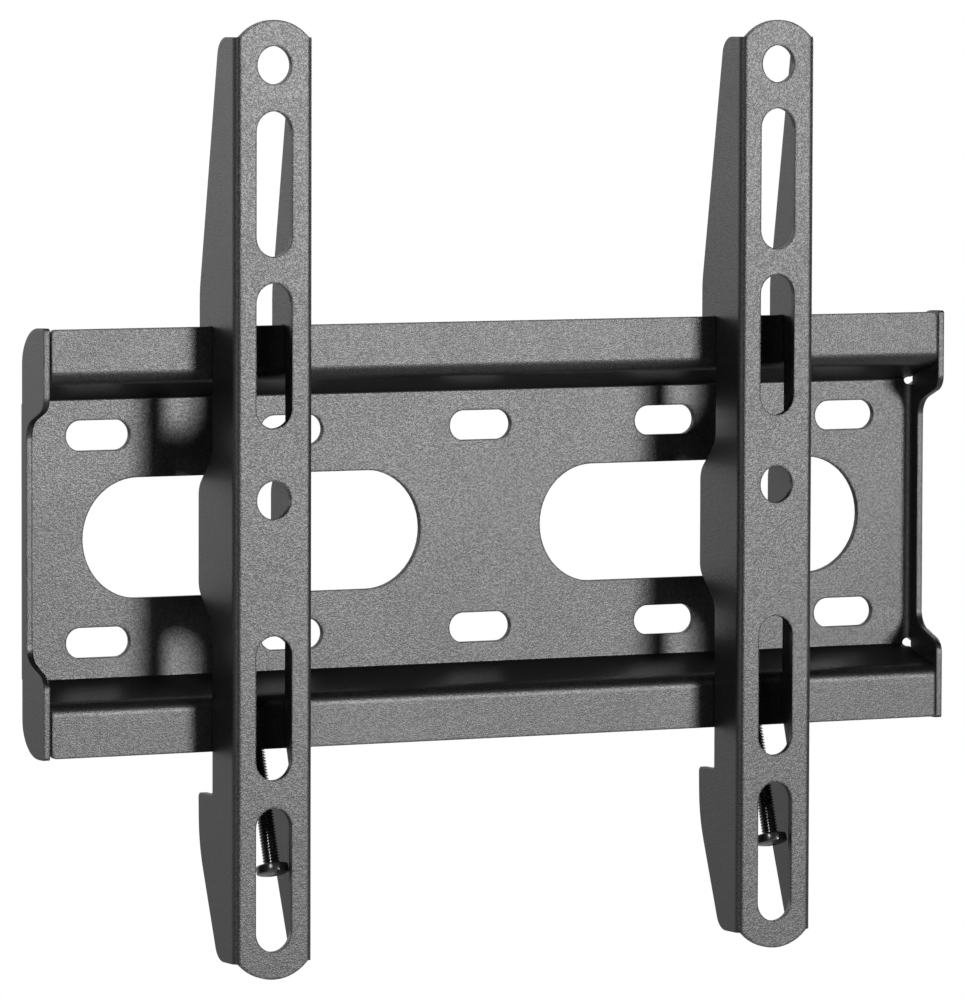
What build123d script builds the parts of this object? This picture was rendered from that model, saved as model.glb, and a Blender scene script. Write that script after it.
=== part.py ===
"""Fixed wall bracket for a flat screen.

A folded wall plate carries a rail along its top and its bottom edge. Two folded arms, which are
screwed to the back of the screen, hang on the top rail by hooks, and a screw in the foot of each
arm reaches up behind the bottom rail and locks it.

Frame, in millimetres: X to the right, Y into the wall, Z up. The origin is the middle of the
plate's back face, so the wall is the plane Y = 0 and the bracket stands in front of it.
"""

import os
from math import cos, radians, sin, tan

from build123d import *

# Wall plate, a sheet folded forward on all four sides
plate_sheet = 1.5
plate_width = 240.0  # over the end flanges
plate_height = 98.4  # over the two lips
web_height = 64.9  # flat back between the two rails
rail_depth = 15.0  # wall to the front of the lips
shelf_slope = 18.5  # degrees above the horizontal
root_radius = 0.5  # inside of the fold between web and shelf
lip_radius = 3.5  # outside of the fold between shelf and lip
lip_corner = 1.2
end_radius = 3.4  # outside of the fold between web and end flange
end_gap = 0.5  # rail end to the inside of the end flange

# End flanges: a narrow strip between two ears that close the rail ends
strip_depth = 5.4
ear_back = 2.9  # wall to the rear edge of an ear
ear_height = 99.0  # over the two ears
ear_corner = 9.0  # rear corner
ear_front_corner = 0.6
ear_step_height = 62.1  # over the two inner corners of the ears
ear_step_rise = 3.9  # how far a step climbs on its way forward
ear_step_outer = 3.8
ear_step_inner = 4.9
fold_height = 63.4  # length of the fold that joins a flange to the web
relief_radius = 1.2
relief_inset = 1.9  # relief hole from the outside of the flange
relief_height = 64.4  # between the upper and the lower relief holes

# Openings in the web
wall_slot_length = 16.4
wall_slot_width = 7.0
wall_slot_pitch = 50.0
wall_slot_columns = 5
wall_slot_rows = 48.0
window_length = 88.0
window_height = 28.0
window_pitch = 120.0

# Arms, a channel with the open side to the wall
arm_sheet = 1.5
arm_width = 20.2
arm_top = 119.9
arm_bottom = -101.5
arm_radius = 1.6  # outside of the two long folds
arm_left_x = -67.25
arm_right_x = 66.35
dome_rise = 4.0  # curved end of the face beyond the flanges
dome_shoulder = 1.3
neck_depth = 11.7  # depth of the flanges in front of the rails
neck_gap = 0.3  # neck to the front of a lip

# Hook over the top lip
hook_depth = 18.55
hook_length = 7.7
hook_gap = 0.4  # hook to the back of the lip
hook_corner = 1.5
hook_bend_z = 57.2  # where the slanting rear edge turns upright
hook_bend_radius = 25.0
flange_top_depth = 8.7
flange_top_corner = 4.5

# Bump between the rails
bump_depth = 19.1
bump_length = 24.0
bump_radius = 5.0

# Tooth below the bottom rail
tooth_depth = 19.1
tooth_taper = 0.25  # how much shallower the tooth is where it starts to slant
tooth_top = -59.2
tooth_bend_z = -71.2
tooth_bend_radius = 35.0
tooth_corner = 1.2
tooth_root = 0.8
flange_foot_depth = 8.95
flange_foot_corner = 4.5

# Openings in the face of an arm
screen_hole_pitch = 100.0
screen_hole_diameter = 8.8
screen_hole_mid_z = 9.5
face_slot_length = 33.4
face_slot_width = 9.2
face_slot_z = (82.25, 42.75, -38.6, -78.4)

# Locking screw, M4 pan head, and the threaded lug that holds it
screw_diameter = 3.9
screw_length = 30.0
screw_tilt = 17.5  # degrees, the tip leans to the wall
screw_offset = 3.2  # from the middle of the arm towards its right-hand flange
screw_reach = 2.2  # tip beyond the lower edge of the lip
right_screw_further = 0.5  # the right-hand screw is driven in a little further
screw_gap = 0.35  # shank to the back of the lip
screw_tip_chamfer = 0.6
head_diameter = 7.6
head_height = 2.6
head_rim = 1.8  # height of the upright rim below the domed crown
lug_drop = 9.0  # lower edge of the lip to the top of the lug, along the screw
lug_width = 8.4
lug_reach = 4.4  # free end beyond the screw's axis
lug_fold = 0.5  # inside of the lug's fold
lug_round = 3.8  # corners of the free end
lug_relief = 0.6
lug_blank = 12.0  # opening left in the flange by the lug
collar_diameter = 5.8
collar_height = 1.6
thread_gap = 0.05

# Places that follow from the sizes above
half_width = plate_width / 2
half_height = plate_height / 2
lip_front_y = -rail_depth
lip_back_y = lip_front_y + plate_sheet
face_y = lip_front_y - neck_gap - neck_depth
face_back_y = face_y + arm_sheet
half_arm = arm_width / 2
through = 2 * rail_depth


def corner_at(sketch, y, z):
    """The corner of a flat outline that lies nearest to a point."""
    return sketch.vertices().sort_by_distance((y, z))[0]


# Rails and web: one folded section, as long as the rails
shelf_rise = (rail_depth - plate_sheet) * tan(radians(shelf_slope))
fold_z = web_height / 2 + shelf_rise
front_line = [
    (lip_front_y, half_height),
    (lip_front_y, fold_z),
    (-plate_sheet, web_height / 2),
    (-plate_sheet, -web_height / 2),
    (lip_front_y, -fold_z),
    (lip_front_y, -half_height),
]
rail_half = half_width - plate_sheet - end_gap

with BuildPart() as rails:
    with BuildSketch(Plane.YZ) as rail_section:
        with BuildLine():
            FilletPolyline(*front_line, radius=[lip_radius, root_radius, root_radius, lip_radius])
            offset(amount=plate_sheet, side=Side.LEFT)
        make_face()
    extrude(amount=rail_half, both=True)
    lip_corners = rails.edges().filter_by(Axis.Y)
    fillet(lip_corners.group_by(Axis.Z)[-1] + lip_corners.group_by(Axis.Z)[0], lip_corner)

# End flange: folded from the web, then cut to its outline as seen from the side
web_end = half_width - end_radius
ear_half = ear_height / 2
step_z = ear_step_height / 2
strip_line = -strip_depth
ear_outline = [
    (0, fold_height / 2),
    (-ear_back, fold_height / 2),
    (-ear_back, ear_half),
    (lip_front_y, ear_half),
    (lip_front_y, step_z),
    (strip_line, step_z - ear_step_rise),
]

with BuildPart() as end_flange:
    with BuildSketch(Plane.XY):
        with BuildLine():
            FilletPolyline((web_end - end_radius, 0), (half_width, 0), (half_width, lip_front_y), radius=end_radius)
            offset(amount=plate_sheet, side=Side.RIGHT)
        make_face()
    extrude(amount=ear_half, both=True)
    with BuildSketch(Plane.YZ) as flange_outline:
        with BuildLine():
            Polyline(*ear_outline, *[(y, -z) for y, z in reversed(ear_outline)], close=True)
        make_face()
        for side in (1, -1):
            fillet(corner_at(flange_outline, -ear_back, side * ear_half), ear_corner)
            fillet(corner_at(flange_outline, lip_front_y, side * ear_half), ear_front_corner)
            fillet(corner_at(flange_outline, lip_front_y, side * step_z), ear_step_outer)
            fillet(corner_at(flange_outline, strip_line, side * (step_z - ear_step_rise)), ear_step_inner)
    extrude(amount=plate_width, mode=Mode.INTERSECT)

with BuildPart() as wall_plate:
    add(rails.part)
    with BuildSketch(Plane.XZ):
        with Locations((half_width, 0), (-half_width, 0)):
            Rectangle(2 * end_radius, fold_height)
    extrude(amount=through, both=True, mode=Mode.SUBTRACT)
    add(end_flange.part)
    mirror(end_flange.part, about=Plane.YZ)
    with BuildSketch(Plane.XZ):
        with GridLocations(2 * (half_width - relief_inset), relief_height, 2, 2):
            Circle(relief_radius)
    extrude(amount=ear_back, mode=Mode.SUBTRACT)
    with BuildSketch(Plane.XZ):
        with GridLocations(wall_slot_pitch, wall_slot_rows, wall_slot_columns, 2):
            SlotOverall(wall_slot_length, wall_slot_width)
        with GridLocations(window_pitch, 0, 2, 1):
            SlotOverall(window_length, window_height)
    extrude(amount=plate_sheet, mode=Mode.SUBTRACT)

# Screw axis: it clears the back of the bottom lip and leans to the wall on its way up
tilt = radians(screw_tilt)
screw_radius = screw_diameter / 2
axis_direction = Vector(0, sin(tilt), cos(tilt))
lip_passing = Vector(0, lip_back_y + screw_gap + screw_radius / cos(tilt), -half_height)
lug_top_point = lip_passing - axis_direction * lug_drop
bearing_point = lip_passing + axis_direction * (screw_reach - screw_length)
lug_plane = Plane(origin=lug_top_point, x_dir=(1, 0, 0), z_dir=axis_direction)
cross_plane = Plane(origin=lug_top_point, x_dir=(1, 0, 0), z_dir=-lug_plane.y_dir)
flange_side = Plane(origin=lug_top_point, x_dir=lug_plane.y_dir, z_dir=(1, 0, 0))

# Side view of the arm's flanges, from the face at the front to the rear edges
shoulder_top = arm_top - dome_rise
shoulder_foot = arm_bottom + dome_rise
fold_end_y = face_y + arm_radius
neck_y = face_y + neck_depth
hook_front_y = lip_back_y + hook_gap
hook_back_y = face_y + hook_depth
hook_foot_z = half_height - hook_length
bump_y = face_y + bump_depth
bump_half = bump_length / 2
ramp = bump_depth - neck_depth
tooth_y = face_y + tooth_depth
flange_line = [
    (face_y, arm_top),
    (fold_end_y, arm_top),
    (fold_end_y, shoulder_top),
    (face_y + flange_top_depth, shoulder_top),
    (hook_back_y, hook_bend_z),
    (hook_back_y, hook_foot_z),
    (hook_front_y, hook_foot_z),
    (hook_front_y, half_height),
    (neck_y, half_height),
    (neck_y, bump_half + ramp),
    (bump_y, bump_half),
    (bump_y, -bump_half),
    (neck_y, -bump_half - ramp),
    (neck_y, tooth_top),
    (tooth_y, tooth_top),
    (tooth_y - tooth_taper, tooth_bend_z),
    (face_y + flange_foot_depth, shoulder_foot),
    (fold_end_y, shoulder_foot),
    (fold_end_y, arm_bottom),
    (face_y, arm_bottom),
]
flange_rounds = [
    (face_y + flange_top_depth, shoulder_top, flange_top_corner),
    (hook_back_y, hook_bend_z, hook_bend_radius),
    (hook_back_y, hook_foot_z, hook_corner),
    (hook_front_y, hook_foot_z, hook_corner),
    (neck_y, bump_half + ramp, bump_radius),
    (bump_y, bump_half, bump_radius),
    (bump_y, -bump_half, bump_radius),
    (neck_y, -bump_half - ramp, bump_radius),
    (neck_y, tooth_top, tooth_root),
    (tooth_y, tooth_top, tooth_corner),
    (tooth_y - tooth_taper, tooth_bend_z, tooth_bend_radius),
    (face_y + flange_foot_depth, shoulder_foot, flange_foot_corner),
]

# Threaded lug: folded inward from the top edge of the right-hand flange's tooth
with BuildPart() as lug:
    with BuildSketch(cross_plane):
        with BuildLine():
            FilletPolyline(
                (screw_offset - lug_reach, 0),
                (half_arm, 0),
                (half_arm, -2 * (arm_sheet + lug_fold)),
                radius=arm_sheet + lug_fold,
            )
            offset(amount=arm_sheet, side=Side.RIGHT)
        make_face()
    extrude(amount=lug_width / 2, both=True)
    free_end = lug.faces().sort_by(Axis.X)[0]
    fillet(free_end.edges().sort_by(SortBy.LENGTH)[:2], lug_round)
    with BuildSketch(lug_plane.offset(-arm_sheet)):
        with Locations((screw_offset, 0)):
            Circle(collar_diameter / 2)
    extrude(amount=-collar_height)

# One arm, standing on the plate's middle line
with BuildPart() as arm:
    with BuildSketch(Plane.XY.offset(arm_bottom)):
        with BuildLine():
            FilletPolyline(
                (-half_arm, face_y + tooth_depth + arm_sheet),
                (-half_arm, face_y),
                (half_arm, face_y),
                (half_arm, face_y + tooth_depth + arm_sheet),
                radius=arm_radius,
            )
            offset(amount=arm_sheet, side=Side.LEFT)
        make_face()
    extrude(amount=arm_top - arm_bottom)
    with BuildSketch(Plane.YZ) as side_outline:
        with BuildLine():
            Polyline(*flange_line, close=True)
        make_face()
        for y, z, radius in flange_rounds:
            fillet(corner_at(side_outline, y, z), radius)
    extrude(amount=arm_width, both=True, mode=Mode.INTERSECT)
    with BuildSketch(Plane.XZ):
        with BuildLine():
            ThreePointArc(
                (-half_arm + dome_shoulder, shoulder_top),
                (0, arm_top),
                (half_arm - dome_shoulder, shoulder_top),
            )
            Polyline(
                (half_arm - dome_shoulder, shoulder_top),
                (half_arm, shoulder_top),
                (half_arm, shoulder_foot),
                (half_arm - dome_shoulder, shoulder_foot),
            )
            ThreePointArc(
                (half_arm - dome_shoulder, shoulder_foot),
                (0, arm_bottom),
                (-half_arm + dome_shoulder, shoulder_foot),
            )
            Polyline(
                (-half_arm + dome_shoulder, shoulder_foot),
                (-half_arm, shoulder_foot),
                (-half_arm, shoulder_top),
                (-half_arm + dome_shoulder, shoulder_top),
            )
        make_face()
    extrude(amount=through, both=True, mode=Mode.INTERSECT)
    with BuildSketch(Plane.XZ.offset(-face_y)):
        for z in (screen_hole_mid_z + screen_hole_pitch, screen_hole_mid_z):
            with Locations((0, z)):
                Circle(screen_hole_diameter / 2)
        for z in face_slot_z:
            with Locations((0, z)):
                SlotOverall(face_slot_length, face_slot_width, rotation=90)
    extrude(amount=-arm_sheet, mode=Mode.SUBTRACT)
    with BuildSketch(flange_side.offset(half_arm - arm_sheet)):
        with Locations((-lug_width / 2 - lug_relief, -arm_sheet - lug_fold)):
            Rectangle(lug_width + tooth_depth, lug_blank, align=(Align.MIN, Align.MIN))
    extrude(amount=arm_sheet, mode=Mode.SUBTRACT)
    add(lug.part)
    with BuildSketch(lug_plane):
        with Locations((screw_offset, 0)):
            Circle(screw_radius + thread_gap)
    extrude(amount=arm_sheet + collar_height, both=True, mode=Mode.SUBTRACT)

with BuildPart() as left_arm:
    add(arm.part.moved(Location((arm_left_x, 0, 0))))

with BuildPart() as right_arm:
    add(arm.part.moved(Location((arm_right_x, 0, 0))))

# Locking screw: a turned blank with a domed head
head_plane = Plane(origin=bearing_point + Vector(screw_offset, 0, 0), x_dir=(1, 0, 0), z_dir=axis_direction)
turning_plane = Plane(origin=head_plane.origin, x_dir=head_plane.y_dir, z_dir=(1, 0, 0))
head_radius = head_diameter / 2

with BuildPart() as screw:
    with BuildSketch(turning_plane):
        with BuildLine():
            Polyline(
                (0, -head_height),
                (0, screw_length),
                (screw_radius - screw_tip_chamfer, screw_length),
                (screw_radius, screw_length - screw_tip_chamfer),
                (screw_radius, 0),
                (head_radius, 0),
                (head_radius, -head_rim),
            )
            TangentArc((0, -head_height), (head_radius, -head_rim), tangent=(1, 0))
        make_face()
    revolve(axis=Axis(head_plane.origin, axis_direction))

with BuildPart() as left_lock_screw:
    add(screw.part.moved(Location((arm_left_x, 0, 0))))

with BuildPart() as right_lock_screw:
    add(screw.part.moved(Location(Vector(arm_right_x, 0, 0) + axis_direction * right_screw_further)))

wall_plate.part.label = "wall_plate"
left_arm.part.label = "left_arm"
right_arm.part.label = "right_arm"
left_lock_screw.part.label = "left_lock_screw"
right_lock_screw.part.label = "right_lock_screw"

os.makedirs("parts", exist_ok=True)
export_step(wall_plate.part, "parts/wall_plate.step")
export_step(left_arm.part, "parts/left_arm.step")
export_step(right_arm.part, "parts/right_arm.step")
export_step(left_lock_screw.part, "parts/left_lock_screw.step")
export_step(right_lock_screw.part, "parts/right_lock_screw.step")
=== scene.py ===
import math

import bmesh
import bpy
from mathutils import Matrix, Vector


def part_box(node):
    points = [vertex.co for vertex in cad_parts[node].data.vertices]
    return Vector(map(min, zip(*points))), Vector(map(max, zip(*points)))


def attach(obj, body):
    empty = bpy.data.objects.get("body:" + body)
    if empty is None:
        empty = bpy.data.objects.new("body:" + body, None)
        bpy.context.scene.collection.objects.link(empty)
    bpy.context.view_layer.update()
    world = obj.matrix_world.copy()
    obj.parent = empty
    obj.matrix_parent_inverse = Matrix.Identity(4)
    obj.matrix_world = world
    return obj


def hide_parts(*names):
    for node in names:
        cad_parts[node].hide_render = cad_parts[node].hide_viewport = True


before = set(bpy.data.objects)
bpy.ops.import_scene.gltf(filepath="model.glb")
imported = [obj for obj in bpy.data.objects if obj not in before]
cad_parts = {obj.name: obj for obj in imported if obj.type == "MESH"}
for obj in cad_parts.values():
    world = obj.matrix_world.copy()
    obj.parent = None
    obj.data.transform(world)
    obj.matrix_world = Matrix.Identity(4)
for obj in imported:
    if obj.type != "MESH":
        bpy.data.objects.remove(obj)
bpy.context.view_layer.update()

MM = 0.001


# Shader trees


class Wire:
    """One output socket of a node; sums and products on it add Math nodes to its tree."""

    def __init__(self, bench, node, out):
        self.bench = bench
        self.made = node
        self.out = out

    @property
    def socket(self):
        return self.made.outputs[self.out]

    def __getitem__(self, out):
        return Wire(self.bench, self.made, out)

    def __add__(self, other):
        return self.bench.math("ADD", self, other)

    def __radd__(self, other):
        return self.bench.math("ADD", other, self)

    def __sub__(self, other):
        return self.bench.math("SUBTRACT", self, other)

    def __rsub__(self, other):
        return self.bench.math("SUBTRACT", other, self)

    def __mul__(self, other):
        return self.bench.math("MULTIPLY", self, other)

    def __rmul__(self, other):
        return self.bench.math("MULTIPLY", other, self)


class Bench:
    """A node tree that is built up from nothing."""

    def __init__(self, owner):
        owner.use_nodes = True
        self.tree = owner.node_tree
        self.tree.nodes.clear()

    def node(self, kind, settings=None, sockets=None, out=0):
        made = self.tree.nodes.new("ShaderNode" + kind)
        for name, value in (settings or {}).items():
            setattr(made, name, value)
        for name, value in (sockets or {}).items():
            if isinstance(value, Wire):
                self.tree.links.new(value.socket, made.inputs[name])
            else:
                made.inputs[name].default_value = value
        return Wire(self, made, out)

    def math(self, operation, a, b):
        return self.node("Math", {"operation": operation}, {0: a, 1: b})

    def larger(self, a, b):
        return self.math("MAXIMUM", a, b)

    def size_of(self, a):
        return self.math("ABSOLUTE", a, 0.0)

    def split(self, vector):
        """A vector's parts, by X, Y and Z."""
        return self.node("SeparateXYZ", {}, {0: vector})

    def step(self, value, low, high, start=0.0, end=1.0):
        """A smooth change from start to end while value goes from low to high."""
        return self.node(
            "MapRange",
            {"interpolation_type": "SMOOTHSTEP"},
            {"Value": value, "From Min": low, "From Max": high, "To Min": start, "To Max": end},
        )

    def beyond(self, value, limit, fade):
        """0 below the limit, rising to 1 over the fade."""
        return self.step(value, limit, limit + fade)

    def within(self, value, limit, fade):
        """0 above the limit, rising to 1 over the fade below it."""
        return self.step(value, limit - fade, limit, 1.0, 0.0)

    def turn(self, share, first, second):
        """A direction between two directions."""
        return self.node("Mix", {"data_type": "VECTOR"}, {0: share, 4: first, 5: second}, out=1)

    def tint(self, share, dark, light):
        """A colour between two colours."""
        return self.node("Mix", {"data_type": "RGBA"}, {0: share, 6: (*dark, 1), 7: (*light, 1)}, out=2)

    def noise(self, place, size, detail):
        """Grain of about this size, in metres."""
        return self.node("TexNoise", {}, {"Vector": place, "Scale": 1 / size, "Detail": detail})


# Powder coat of the three sheets

FINE_GRAIN = 0.32 * MM
BROAD_GRAIN = 0.7 * MM
FINE_SHARE = 0.7
SPECK_LOW = 0.36  # height of the peel where a speck begins
SPECK_HIGH = 0.64  # and where it is full
CLOUD_SIZE = 24 * MM
PEEL_HEIGHT = 0.055 * MM
EDGE_ROUNDING = 0.6 * MM
DULL_INDEX = 1.3
BRIGHT_INDEX = 1.86
COAT_ROUGHNESS = 0.395
ROUGHNESS_SPREAD = 0.05  # what specks and clouds change in it
SPARKLE = 0.28  # how far the specks shift the mix of the two coats on a face
COAT_DARK = (0.002, 0.002, 0.002)
COAT_LIGHT = (0.01, 0.01, 0.01)

# Where the plate turns from the web into a shelf: heights from its middle, and the depth
CORNER_LOW = 31.3 * MM
CORNER_HIGH = 33.6 * MM
CORNER_FRONT = -3.6 * MM
CORNER_FADE = 0.3 * MM

# The part of the web that holds the slots and windows
WEB_HALF_WIDTH = 118 * MM
WEB_HALF_HEIGHT = 31 * MM
WEB_FADE = 1 * MM
WEB_FRONT = -1.7 * MM  # a little in front of the sheet
WEB_FRONT_FADE = 0.1 * MM
EDGE_FACING = 0.6  # a cut edge faces the room less than this
EDGE_FACING_FADE = 0.3


def inside_corner(bench, spot):
    """1 along the two inside corners where the web turns into the shelves, 0 elsewhere."""
    height = bench.size_of(spot["Z"])
    above = bench.beyond(height, CORNER_LOW, CORNER_FADE)
    below = bench.within(height, CORNER_HIGH, CORNER_FADE)
    return above * below * bench.beyond(spot["Y"], CORNER_FRONT, CORNER_FADE)


def cut_edge(bench, spot, facing):
    """1 on the edges of the slots and windows of the web, 0 elsewhere."""
    deep = bench.beyond(spot["Y"], WEB_FRONT, WEB_FRONT_FADE)
    high = bench.within(bench.size_of(spot["Z"]), WEB_HALF_HEIGHT, WEB_FADE)
    wide = bench.within(bench.size_of(spot["X"]), WEB_HALF_WIDTH, WEB_FADE)
    return deep * high * wide * bench.within(facing, EDGE_FACING, EDGE_FACING_FADE)


def coat_normal(bench, spot, peel):
    """Softened edges, save in the inside corners, with the orange peel over them."""
    softened = bench.node("Bevel", {"samples": 4}, {"Radius": EDGE_ROUNDING})
    plain_normal = bench.node("NewGeometry")["Normal"]
    under = bench.turn(inside_corner(bench, spot), softened, plain_normal)
    return bench.node(
        "Bump", {}, {"Strength": 1.0, "Distance": PEEL_HEIGHT, "Height": peel, "Normal": under}
    )


def powder_coat(name, shift):
    """Black powder coat with a fine orange peel, duller on the cut edges of the web."""
    material = bpy.data.materials.new(name)
    bench = Bench(material)
    here = bench.node("TexCoord")["Object"]
    spot = bench.split(here)
    place = bench.node("VectorMath", {"operation": "ADD"}, {0: here, 1: (shift, shift, shift)})
    fine = bench.noise(place, FINE_GRAIN, 1.0)
    broad = bench.noise(place, BROAD_GRAIN, 1.0)
    cloud = bench.noise(place, CLOUD_SIZE, 2.0)
    peel = fine * FINE_SHARE + broad * (1 - FINE_SHARE)
    speck = bench.step(peel, SPECK_LOW, SPECK_HIGH)
    sockets = {
        "Base Color": bench.tint(speck, COAT_DARK, COAT_LIGHT),
        "Roughness": COAT_ROUGHNESS - ROUGHNESS_SPREAD * speck + ROUGHNESS_SPREAD * (cloud - 0.5),
        "Normal": coat_normal(bench, spot, peel),
    }
    dull = bench.node("BsdfPrincipled", {}, {"IOR": DULL_INDEX, **sockets})
    bright = bench.node("BsdfPrincipled", {}, {"IOR": BRIGHT_INDEX, **sockets})
    facing = bench.size_of(bench.split(bench.node("NewGeometry")["True Normal"])["Y"])
    share = 0.5 + (speck - 0.5) * SPARKLE * facing
    share = share * (1 - cut_edge(bench, spot, facing))
    surface = bench.node("MixShader", {}, {0: share, 1: dull, 2: bright})
    bench.node("OutputMaterial", {}, {"Surface": surface})
    return material


def dress(node, material):
    """Gives a carried-over solid its finish."""
    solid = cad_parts[node]
    solid.data.materials.clear()
    solid.data.materials.append(material)


# Each sheet's shift gives it a grain of its own
dress("wall_plate", powder_coat("plate_powder_coat", 0.0))
dress("left_arm", powder_coat("left_arm_powder_coat", 0.31))
dress("right_arm", powder_coat("right_arm_powder_coat", 0.67))


# Locking screws: turned pan head, cross recess and a cut thread

SCREW_TILT = math.radians(17.5)
SCREW_AXIS = Vector((0, math.sin(SCREW_TILT), math.cos(SCREW_TILT)))
SCREW_SEAT = Vector((0, -19.4646, -75.7135)) * MM  # middle of the face under the left head
SCREW_FURTHER = 0.5 * MM  # the right-hand screw is driven in further
SHANK_RADIUS = 1.95 * MM
SHANK_LENGTH = 30 * MM
SHANK_SIDES = 40
THREAD_PITCH = 0.7 * MM
THREAD_DEPTH = 0.4 * MM
THREAD_CREST = 0.34  # shares of the pitch
THREAD_ROOT = 0.16
THREAD_FLANK = (1 - THREAD_CREST - THREAD_ROOT) / 2
TIP_CHAMFER = 0.6 * MM
HEAD_RADIUS = 3.8 * MM
HEAD_HEIGHT = 2.6 * MM
HEAD_RIM = 1.8 * MM
HEAD_EDGE = 0.35 * MM  # rounding of the rim under the head
HEAD_SIDES = 64
CROWN_STEPS = 10
HEAD_EDGE_STEPS = 4
RECESS_DEPTH = 1.6 * MM
CUTTER_LENGTH = 4.1 * MM
CUTTER_WIDTH = 0.85 * MM
CUTTER_TAPER = 0.55  # its size at the recess's floor against its foot below the head
SAME_POINT = 1e-7
SHARP_ANGLE = math.radians(65)


def screw_black():
    """Glossy black passivated steel with faint rubbing marks."""
    material = bpy.data.materials.new("black_screw_steel")
    bench = Bench(material)
    place = bench.node("TexCoord")["Object"]
    marks = bench.noise(place, 0.8 * MM, 3.0)
    surface = bench.node(
        "BsdfPrincipled",
        {},
        {
            "Base Color": bench.tint(marks, (0.018, 0.018, 0.019), (0.036, 0.036, 0.038)),
            "Roughness": bench.step(marks, 0.3, 0.7, 0.18, 0.26),
            "IOR": 1.8,
        },
    )
    bench.node("OutputMaterial", {}, {"Surface": surface})
    return material


def thread_radius(height, turn):
    """How far the thread stands from the axis, at a height and at a share of a turn."""
    along = (height / THREAD_PITCH - turn) % 1.0
    flank_start = THREAD_CREST / 2
    root_start = flank_start + THREAD_FLANK
    root_end = root_start + THREAD_ROOT
    if along < flank_start or along > 1 - flank_start:
        depth = 0.0
    elif along < root_start:
        depth = (along - flank_start) / THREAD_FLANK
    elif along < root_end:
        depth = 1.0
    else:
        depth = 1 - (along - root_end) / THREAD_FLANK
    cut = SHANK_RADIUS - THREAD_DEPTH * depth
    chamfer = SHANK_RADIUS - max(0.0, height - (SHANK_LENGTH - TIP_CHAMFER))
    return min(cut, chamfer)


def ring_point(mesh, radius, angle, height):
    return mesh.verts.new((radius * math.cos(angle), radius * math.sin(angle), height))


def add_shank(mesh):
    """A rod with a helical thread, standing on the origin."""
    crest_end = THREAD_CREST / 2
    root_start = crest_end + THREAD_FLANK
    marks = (-crest_end, crest_end, root_start, root_start + THREAD_ROOT)
    rows = []
    for turn in range(-2, int(SHANK_LENGTH / THREAD_PITCH) + 2):
        for mark in marks:
            row = []
            for side in range(SHANK_SIDES + 1):
                share = side / SHANK_SIDES
                height = min(max((turn + mark + share) * THREAD_PITCH, 0.0), SHANK_LENGTH)
                row.append(ring_point(mesh, thread_radius(height, share), share * math.tau, height))
            rows.append(row)
    for lower, upper in zip(rows, rows[1:]):
        for a, b, c, d in zip(lower, lower[1:], upper[1:], upper):
            if (b.co - c.co).length > SAME_POINT or (a.co - d.co).length > SAME_POINT:
                mesh.faces.new((a, b, c, d))


def lathe(mesh, profile, sides):
    """A closed turned shape from points of radius and height, the first and last on the axis."""
    low = mesh.verts.new((0, 0, profile[0][1]))
    high = mesh.verts.new((0, 0, profile[-1][1]))
    rings = [
        [ring_point(mesh, radius, math.tau * side / sides, height) for side in range(sides)]
        for radius, height in profile[1:-1]
    ]
    for side in range(sides):
        after = (side + 1) % sides
        mesh.faces.new((low, rings[0][after], rings[0][side]))
        mesh.faces.new((high, rings[-1][side], rings[-1][after]))
        for lower, upper in zip(rings, rings[1:]):
            mesh.faces.new((lower[side], lower[after], upper[after], upper[side]))


def bmesh_object(name, mesh):
    data = bpy.data.meshes.new(name)
    mesh.to_mesh(data)
    mesh.free()
    made = bpy.data.objects.new(name, data)
    bpy.context.scene.collection.objects.link(made)
    return made


def recess_cutter():
    """A cross with tapered wings; its lower half stands clear below the head."""
    mesh = bmesh.new()
    for angle in (0, math.pi / 2):
        for vert in bmesh.ops.create_cube(mesh, size=1)["verts"]:
            taper = 1.0 if vert.co.z < 0 else CUTTER_TAPER
            length = vert.co.x * CUTTER_LENGTH * taper
            width = vert.co.y * CUTTER_WIDTH * taper
            vert.co = Vector((length, width, vert.co.z * 2 * RECESS_DEPTH - HEAD_HEIGHT))
            vert.co.rotate(Matrix.Rotation(angle, 3, "Z"))
    return bmesh_object("recess_cutter", mesh)


def head_profile():
    """The pan head from the crown's middle, round the rim, to the seat's middle."""
    crown = HEAD_HEIGHT - HEAD_RIM
    points = [(0, -HEAD_HEIGHT)]
    for step in range(1, CROWN_STEPS + 1):
        angle = math.pi / 2 * step / CROWN_STEPS
        points.append((HEAD_RADIUS * math.sin(angle), -HEAD_RIM - crown * math.cos(angle)))
    for step in range(HEAD_EDGE_STEPS + 1):
        angle = math.pi / 2 * step / HEAD_EDGE_STEPS
        points.append((HEAD_RADIUS - HEAD_EDGE * (1 - math.cos(angle)), -HEAD_EDGE * (1 - math.sin(angle))))
    return points + [(0, 0)]


def screw_head():
    """The pan head below the origin, with its cross recess cut."""
    mesh = bmesh.new()
    lathe(mesh, head_profile(), HEAD_SIDES)
    head = bmesh_object("head_blank", mesh)
    cutter = recess_cutter()
    cut = head.modifiers.new("recess", "BOOLEAN")
    cut.operation = "DIFFERENCE"
    cut.solver = "EXACT"
    cut.use_self = True
    cut.object = cutter
    graph = bpy.context.evaluated_depsgraph_get()
    data = bpy.data.meshes.new_from_object(head.evaluated_get(graph))
    for spent in (head, cutter):
        bpy.data.objects.remove(spent)
    return data


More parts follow.
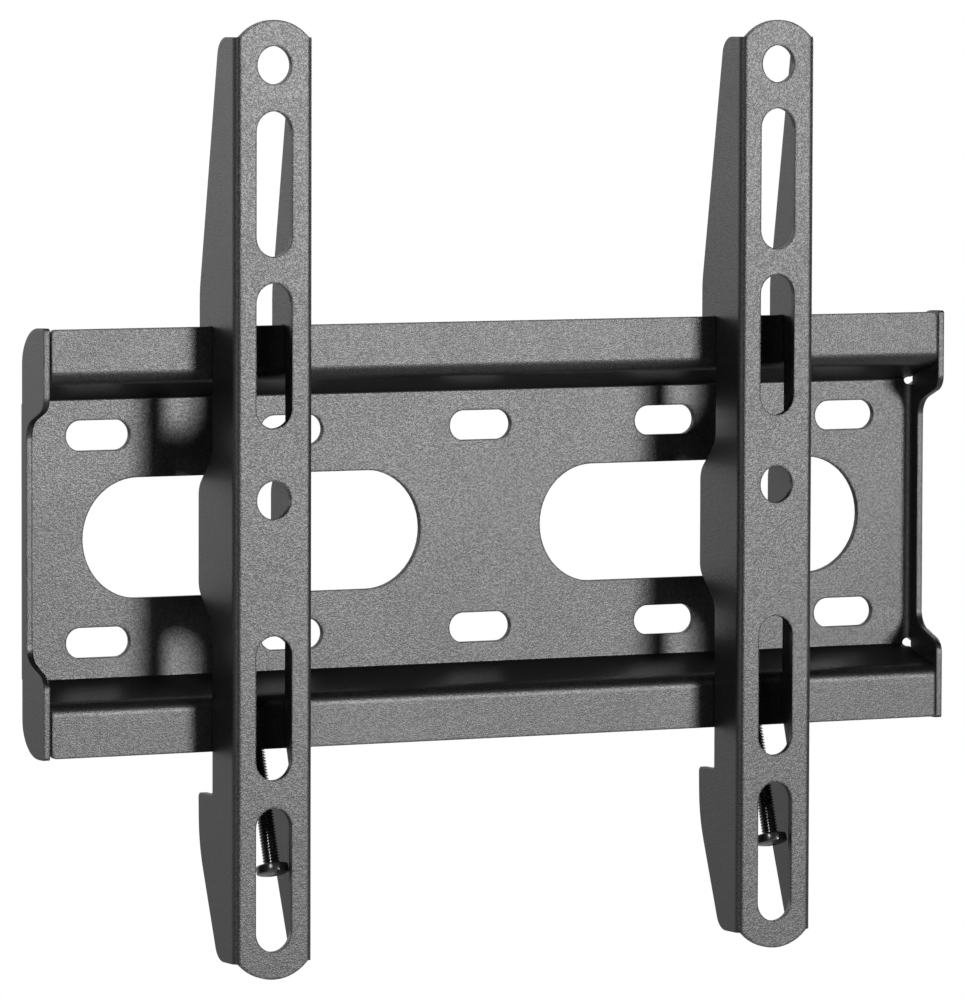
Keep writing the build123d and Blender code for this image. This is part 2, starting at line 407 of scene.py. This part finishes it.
def lock_screw(name, node, further, material):
    """One detailed screw in the place of its plain solid."""
    mesh = bmesh.new()
    add_shank(mesh)
    bmesh.ops.remove_doubles(mesh, verts=mesh.verts, dist=SAME_POINT)
    rims = [edge for edge in mesh.edges if edge.is_boundary]
    bmesh.ops.holes_fill(mesh, edges=rims, sides=0)
    mesh.from_mesh(screw_head())
    bmesh.ops.recalc_face_normals(mesh, faces=mesh.faces)
    screw = bmesh_object(name, mesh)
    low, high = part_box(node)
    seat = Vector(((low.x + high.x) / 2, 0, 0)) + SCREW_SEAT + SCREW_AXIS * further
    turn = Matrix.Rotation(-SCREW_TILT, 4, "X")
    screw.data.transform(Matrix.Translation(seat) @ turn)
    screw.data.materials.clear()
    screw.data.materials.append(material)
    screw.data.set_sharp_from_angle(angle=SHARP_ANGLE)
    for face in screw.data.polygons:
        face.use_smooth = True
    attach(screw, "root")
    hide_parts(node)


black_steel = screw_black()
lock_screw("left_screw_detail", "left_lock_screw", 0.0, black_steel)
lock_screw("right_screw_detail", "right_lock_screw", SCREW_FURTHER, black_steel)


# Floor and room

FLOOR_Z = -0.42
FLOOR_HALF = 8.0
FLOOR_SHINE = 0.5  # the white that gloss sees in the floor
FRONT_LIGHT = 0.005  # the room on the camera's side
REAR_SOFT = 0.5  # what the room behind adds for soft light
REAR_SHINE = 0.995  # and for gloss


def studio_floor():
    mesh = bmesh.new()
    bmesh.ops.create_grid(mesh, x_segments=2, y_segments=2, size=FLOOR_HALF)
    floor = bmesh_object("studio_floor", mesh)
    floor.location = (0, 0, FLOOR_Z)
    material = bpy.data.materials.new("pale_floor")
    bench = Bench(material)
    rays = bench.node("LightPath")
    seen = bench.larger(rays["Is Camera Ray"], rays["Is Transmission Ray"])
    seen = bench.larger(seen, rays["Is Glossy Ray"])
    strength = 1 - (1 - FLOOR_SHINE) * rays["Is Glossy Ray"]
    matt = bench.node("BsdfDiffuse", {}, {"Color": (0.8, 0.8, 0.8, 1)})
    white = bench.node("Emission", {}, {"Color": (1, 1, 1, 1), "Strength": strength})
    shown = bench.node("MixShader", {}, {0: seen, 1: matt, 2: white})
    bench.node("OutputMaterial", {}, {"Surface": shown})
    floor.data.materials.append(material)


def studio_room():
    """White for the camera; behind, on the left, white for gloss too; dim on the camera's side."""
    world = bpy.data.worlds.new("studio_room")
    bpy.context.scene.world = world
    world.cycles.sampling_method = "NONE"
    bench = Bench(world)
    rays = bench.node("LightPath")
    direction = bench.split(bench.node("TexCoord")["Generated"])
    behind = bench.step(direction["Y"], -0.1, 0.4)
    left = bench.step(direction["X"], 0.35, 0.6, 1.0, 0.0)
    gloss = FRONT_LIGHT + REAR_SHINE * behind * left
    soft = FRONT_LIGHT + REAR_SOFT * behind
    shine = rays["Is Glossy Ray"]
    level = gloss * shine + soft * (1 - shine)
    direct = bench.larger(rays["Is Camera Ray"], rays["Is Transmission Ray"])
    level = direct + level * (1 - direct)
    sky = bench.node("Background", {}, {"Color": (1, 1, 1, 1), "Strength": level})
    bench.node("OutputWorld", {}, {"Surface": sky})


# Lamps and camera, placed by azimuth and elevation in degrees around what they look at

PLATE_MIDDLE = Vector((0, 0, 0))
BETWEEN_SCREWS = Vector((0, -20, -75)) * MM
PHOTO_MIDDLE = Vector((1.358, 0, 5.992)) * MM


def aimed(data, name, azimuth, elevation, distance, aim):
    """A lamp's or camera's object, at a distance from its aim and turned to it."""
    across_angle = math.radians(azimuth)
    up_angle = math.radians(elevation)
    across = Vector((math.cos(across_angle), math.sin(across_angle), 0))
    back = Vector(
        (
            math.sin(across_angle) * math.cos(up_angle),
            -math.cos(across_angle) * math.cos(up_angle),
            math.sin(up_angle),
        )
    )
    facing = Matrix((across, back.cross(across), back)).transposed().to_4x4()
    made = bpy.data.objects.new(name, data)
    made.matrix_world = Matrix.Translation(aim + back * distance) @ facing
    bpy.context.scene.collection.objects.link(made)
    return made


def area_lamp(name, shape, size, watts, azimuth, elevation, distance, aim=PLATE_MIDDLE):
    """A flat lamp of a width and height that the camera doesn't see."""
    lamp = bpy.data.lights.new(name, "AREA")
    lamp.shape = shape
    lamp.size, lamp.size_y = size
    lamp.energy = watts
    aimed(lamp, name, azimuth, elevation, distance, aim).visible_camera = False


def lamps():
    # The main lamp, on the side that the photo's shadows point away from
    area_lamp("key_lamp", "DISK", (1.64, 1.64), 216, azimuth=26.3, elevation=4.4, distance=6.0)
    # A dim upright strip on the left draws the line along the folds of the arms
    area_lamp("strip_lamp", "RECTANGLE", (0.14, 2.0), 6.5, azimuth=-55, elevation=10, distance=2.0)
    # A small lamp high on the left reaches the screws through the lowest slots
    area_lamp(
        "screw_lamp", "RECTANGLE", (0.35, 0.4), 7.5,
        azimuth=-41, elevation=24, distance=2.0, aim=BETWEEN_SCREWS,
    )
    # A weak lamp behind on the left grazes the outer faces
    area_lamp("rim_lamp", "SQUARE", (1.0, 1.0), 3.5, azimuth=-150, elevation=11, distance=2.5)
    # A broad lamp behind on the right shows the back and hardly reaches what the photo's camera sees
    area_lamp("back_lamp", "SQUARE", (1.6, 1.6), 80, azimuth=116, elevation=20, distance=3.0)


def photo_camera():
    """The camera as it was found from the photo."""
    lens = bpy.data.cameras.new("photo_camera")
    lens.sensor_fit = "AUTO"
    lens.sensor_width = 36
    lens.lens = 280.46
    lens.clip_end = 20
    camera = aimed(
        lens, "photo_camera", azimuth=-28.0066, elevation=3.8339, distance=1.84884, aim=PHOTO_MIDDLE
    )
    roll = Matrix.Rotation(math.radians(0.165), 4, "Z")
    camera.matrix_world = camera.matrix_world @ roll
    bpy.context.scene.camera = camera


studio_floor()
studio_room()
lamps()
photo_camera()
bpy.context.scene.view_settings.view_transform = "Standard"
